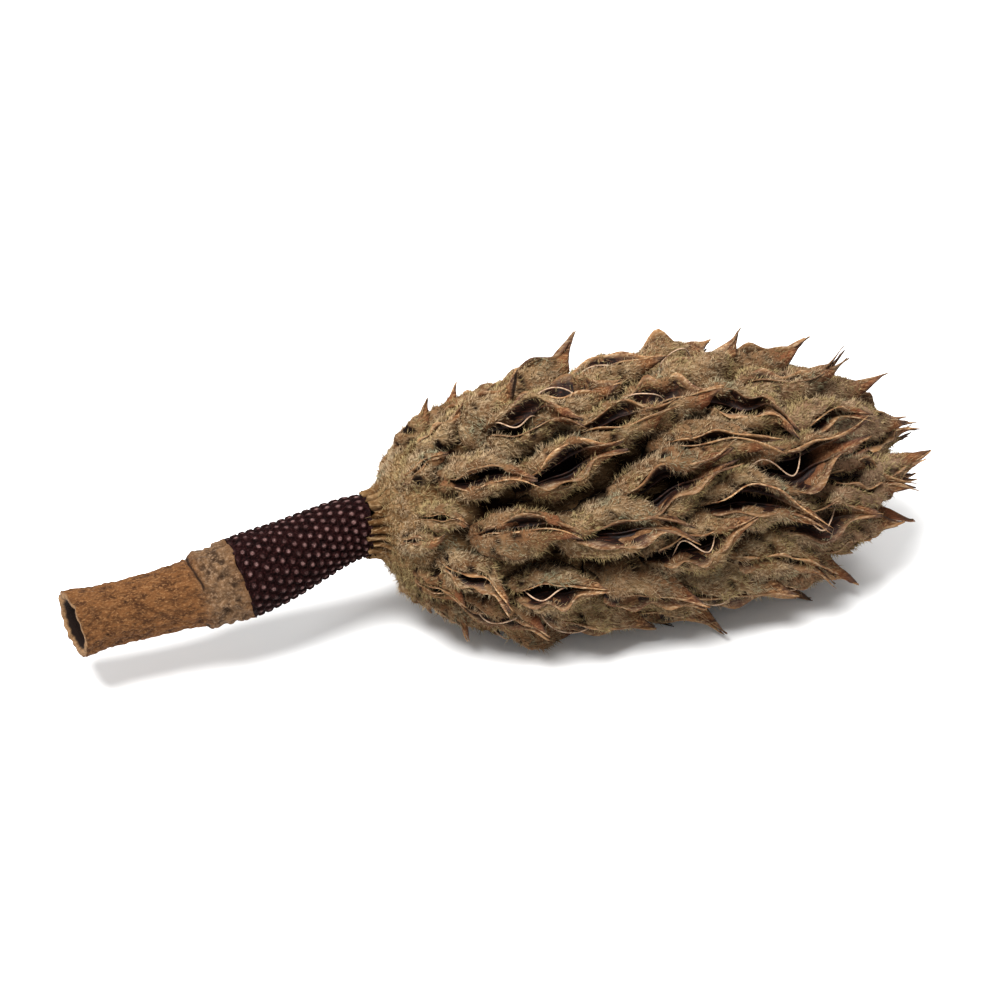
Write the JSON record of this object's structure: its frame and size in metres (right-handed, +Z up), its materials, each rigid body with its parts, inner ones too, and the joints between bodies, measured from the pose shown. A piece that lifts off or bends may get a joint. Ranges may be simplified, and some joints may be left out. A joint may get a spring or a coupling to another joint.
{
  "type": "magnolia seed pod",
  "caption": "Dried magnolia seed pod lying on its side: a cut stalk, a dark collar of stamen scars and a felted cone of split, beaked follicles.",
  "frame": {"origin": "bottom centre of the bounding box, on the surface the pod lies on", "axes": "+X along the pod, from the stalk to the tip; +Z up"},
  "size_m": [0.1404, 0.0478, 0.0449],
  "materials": {
    "bark": "matte",
    "stamen_scars": "satin",
    "felt": "matte"
  },
  "bodies": {
    "root": {"stalk": "bark", "stamen_scar_collar": "stamen_scars", "follicle_cone": "felt"}
  },
  "joints": []
}
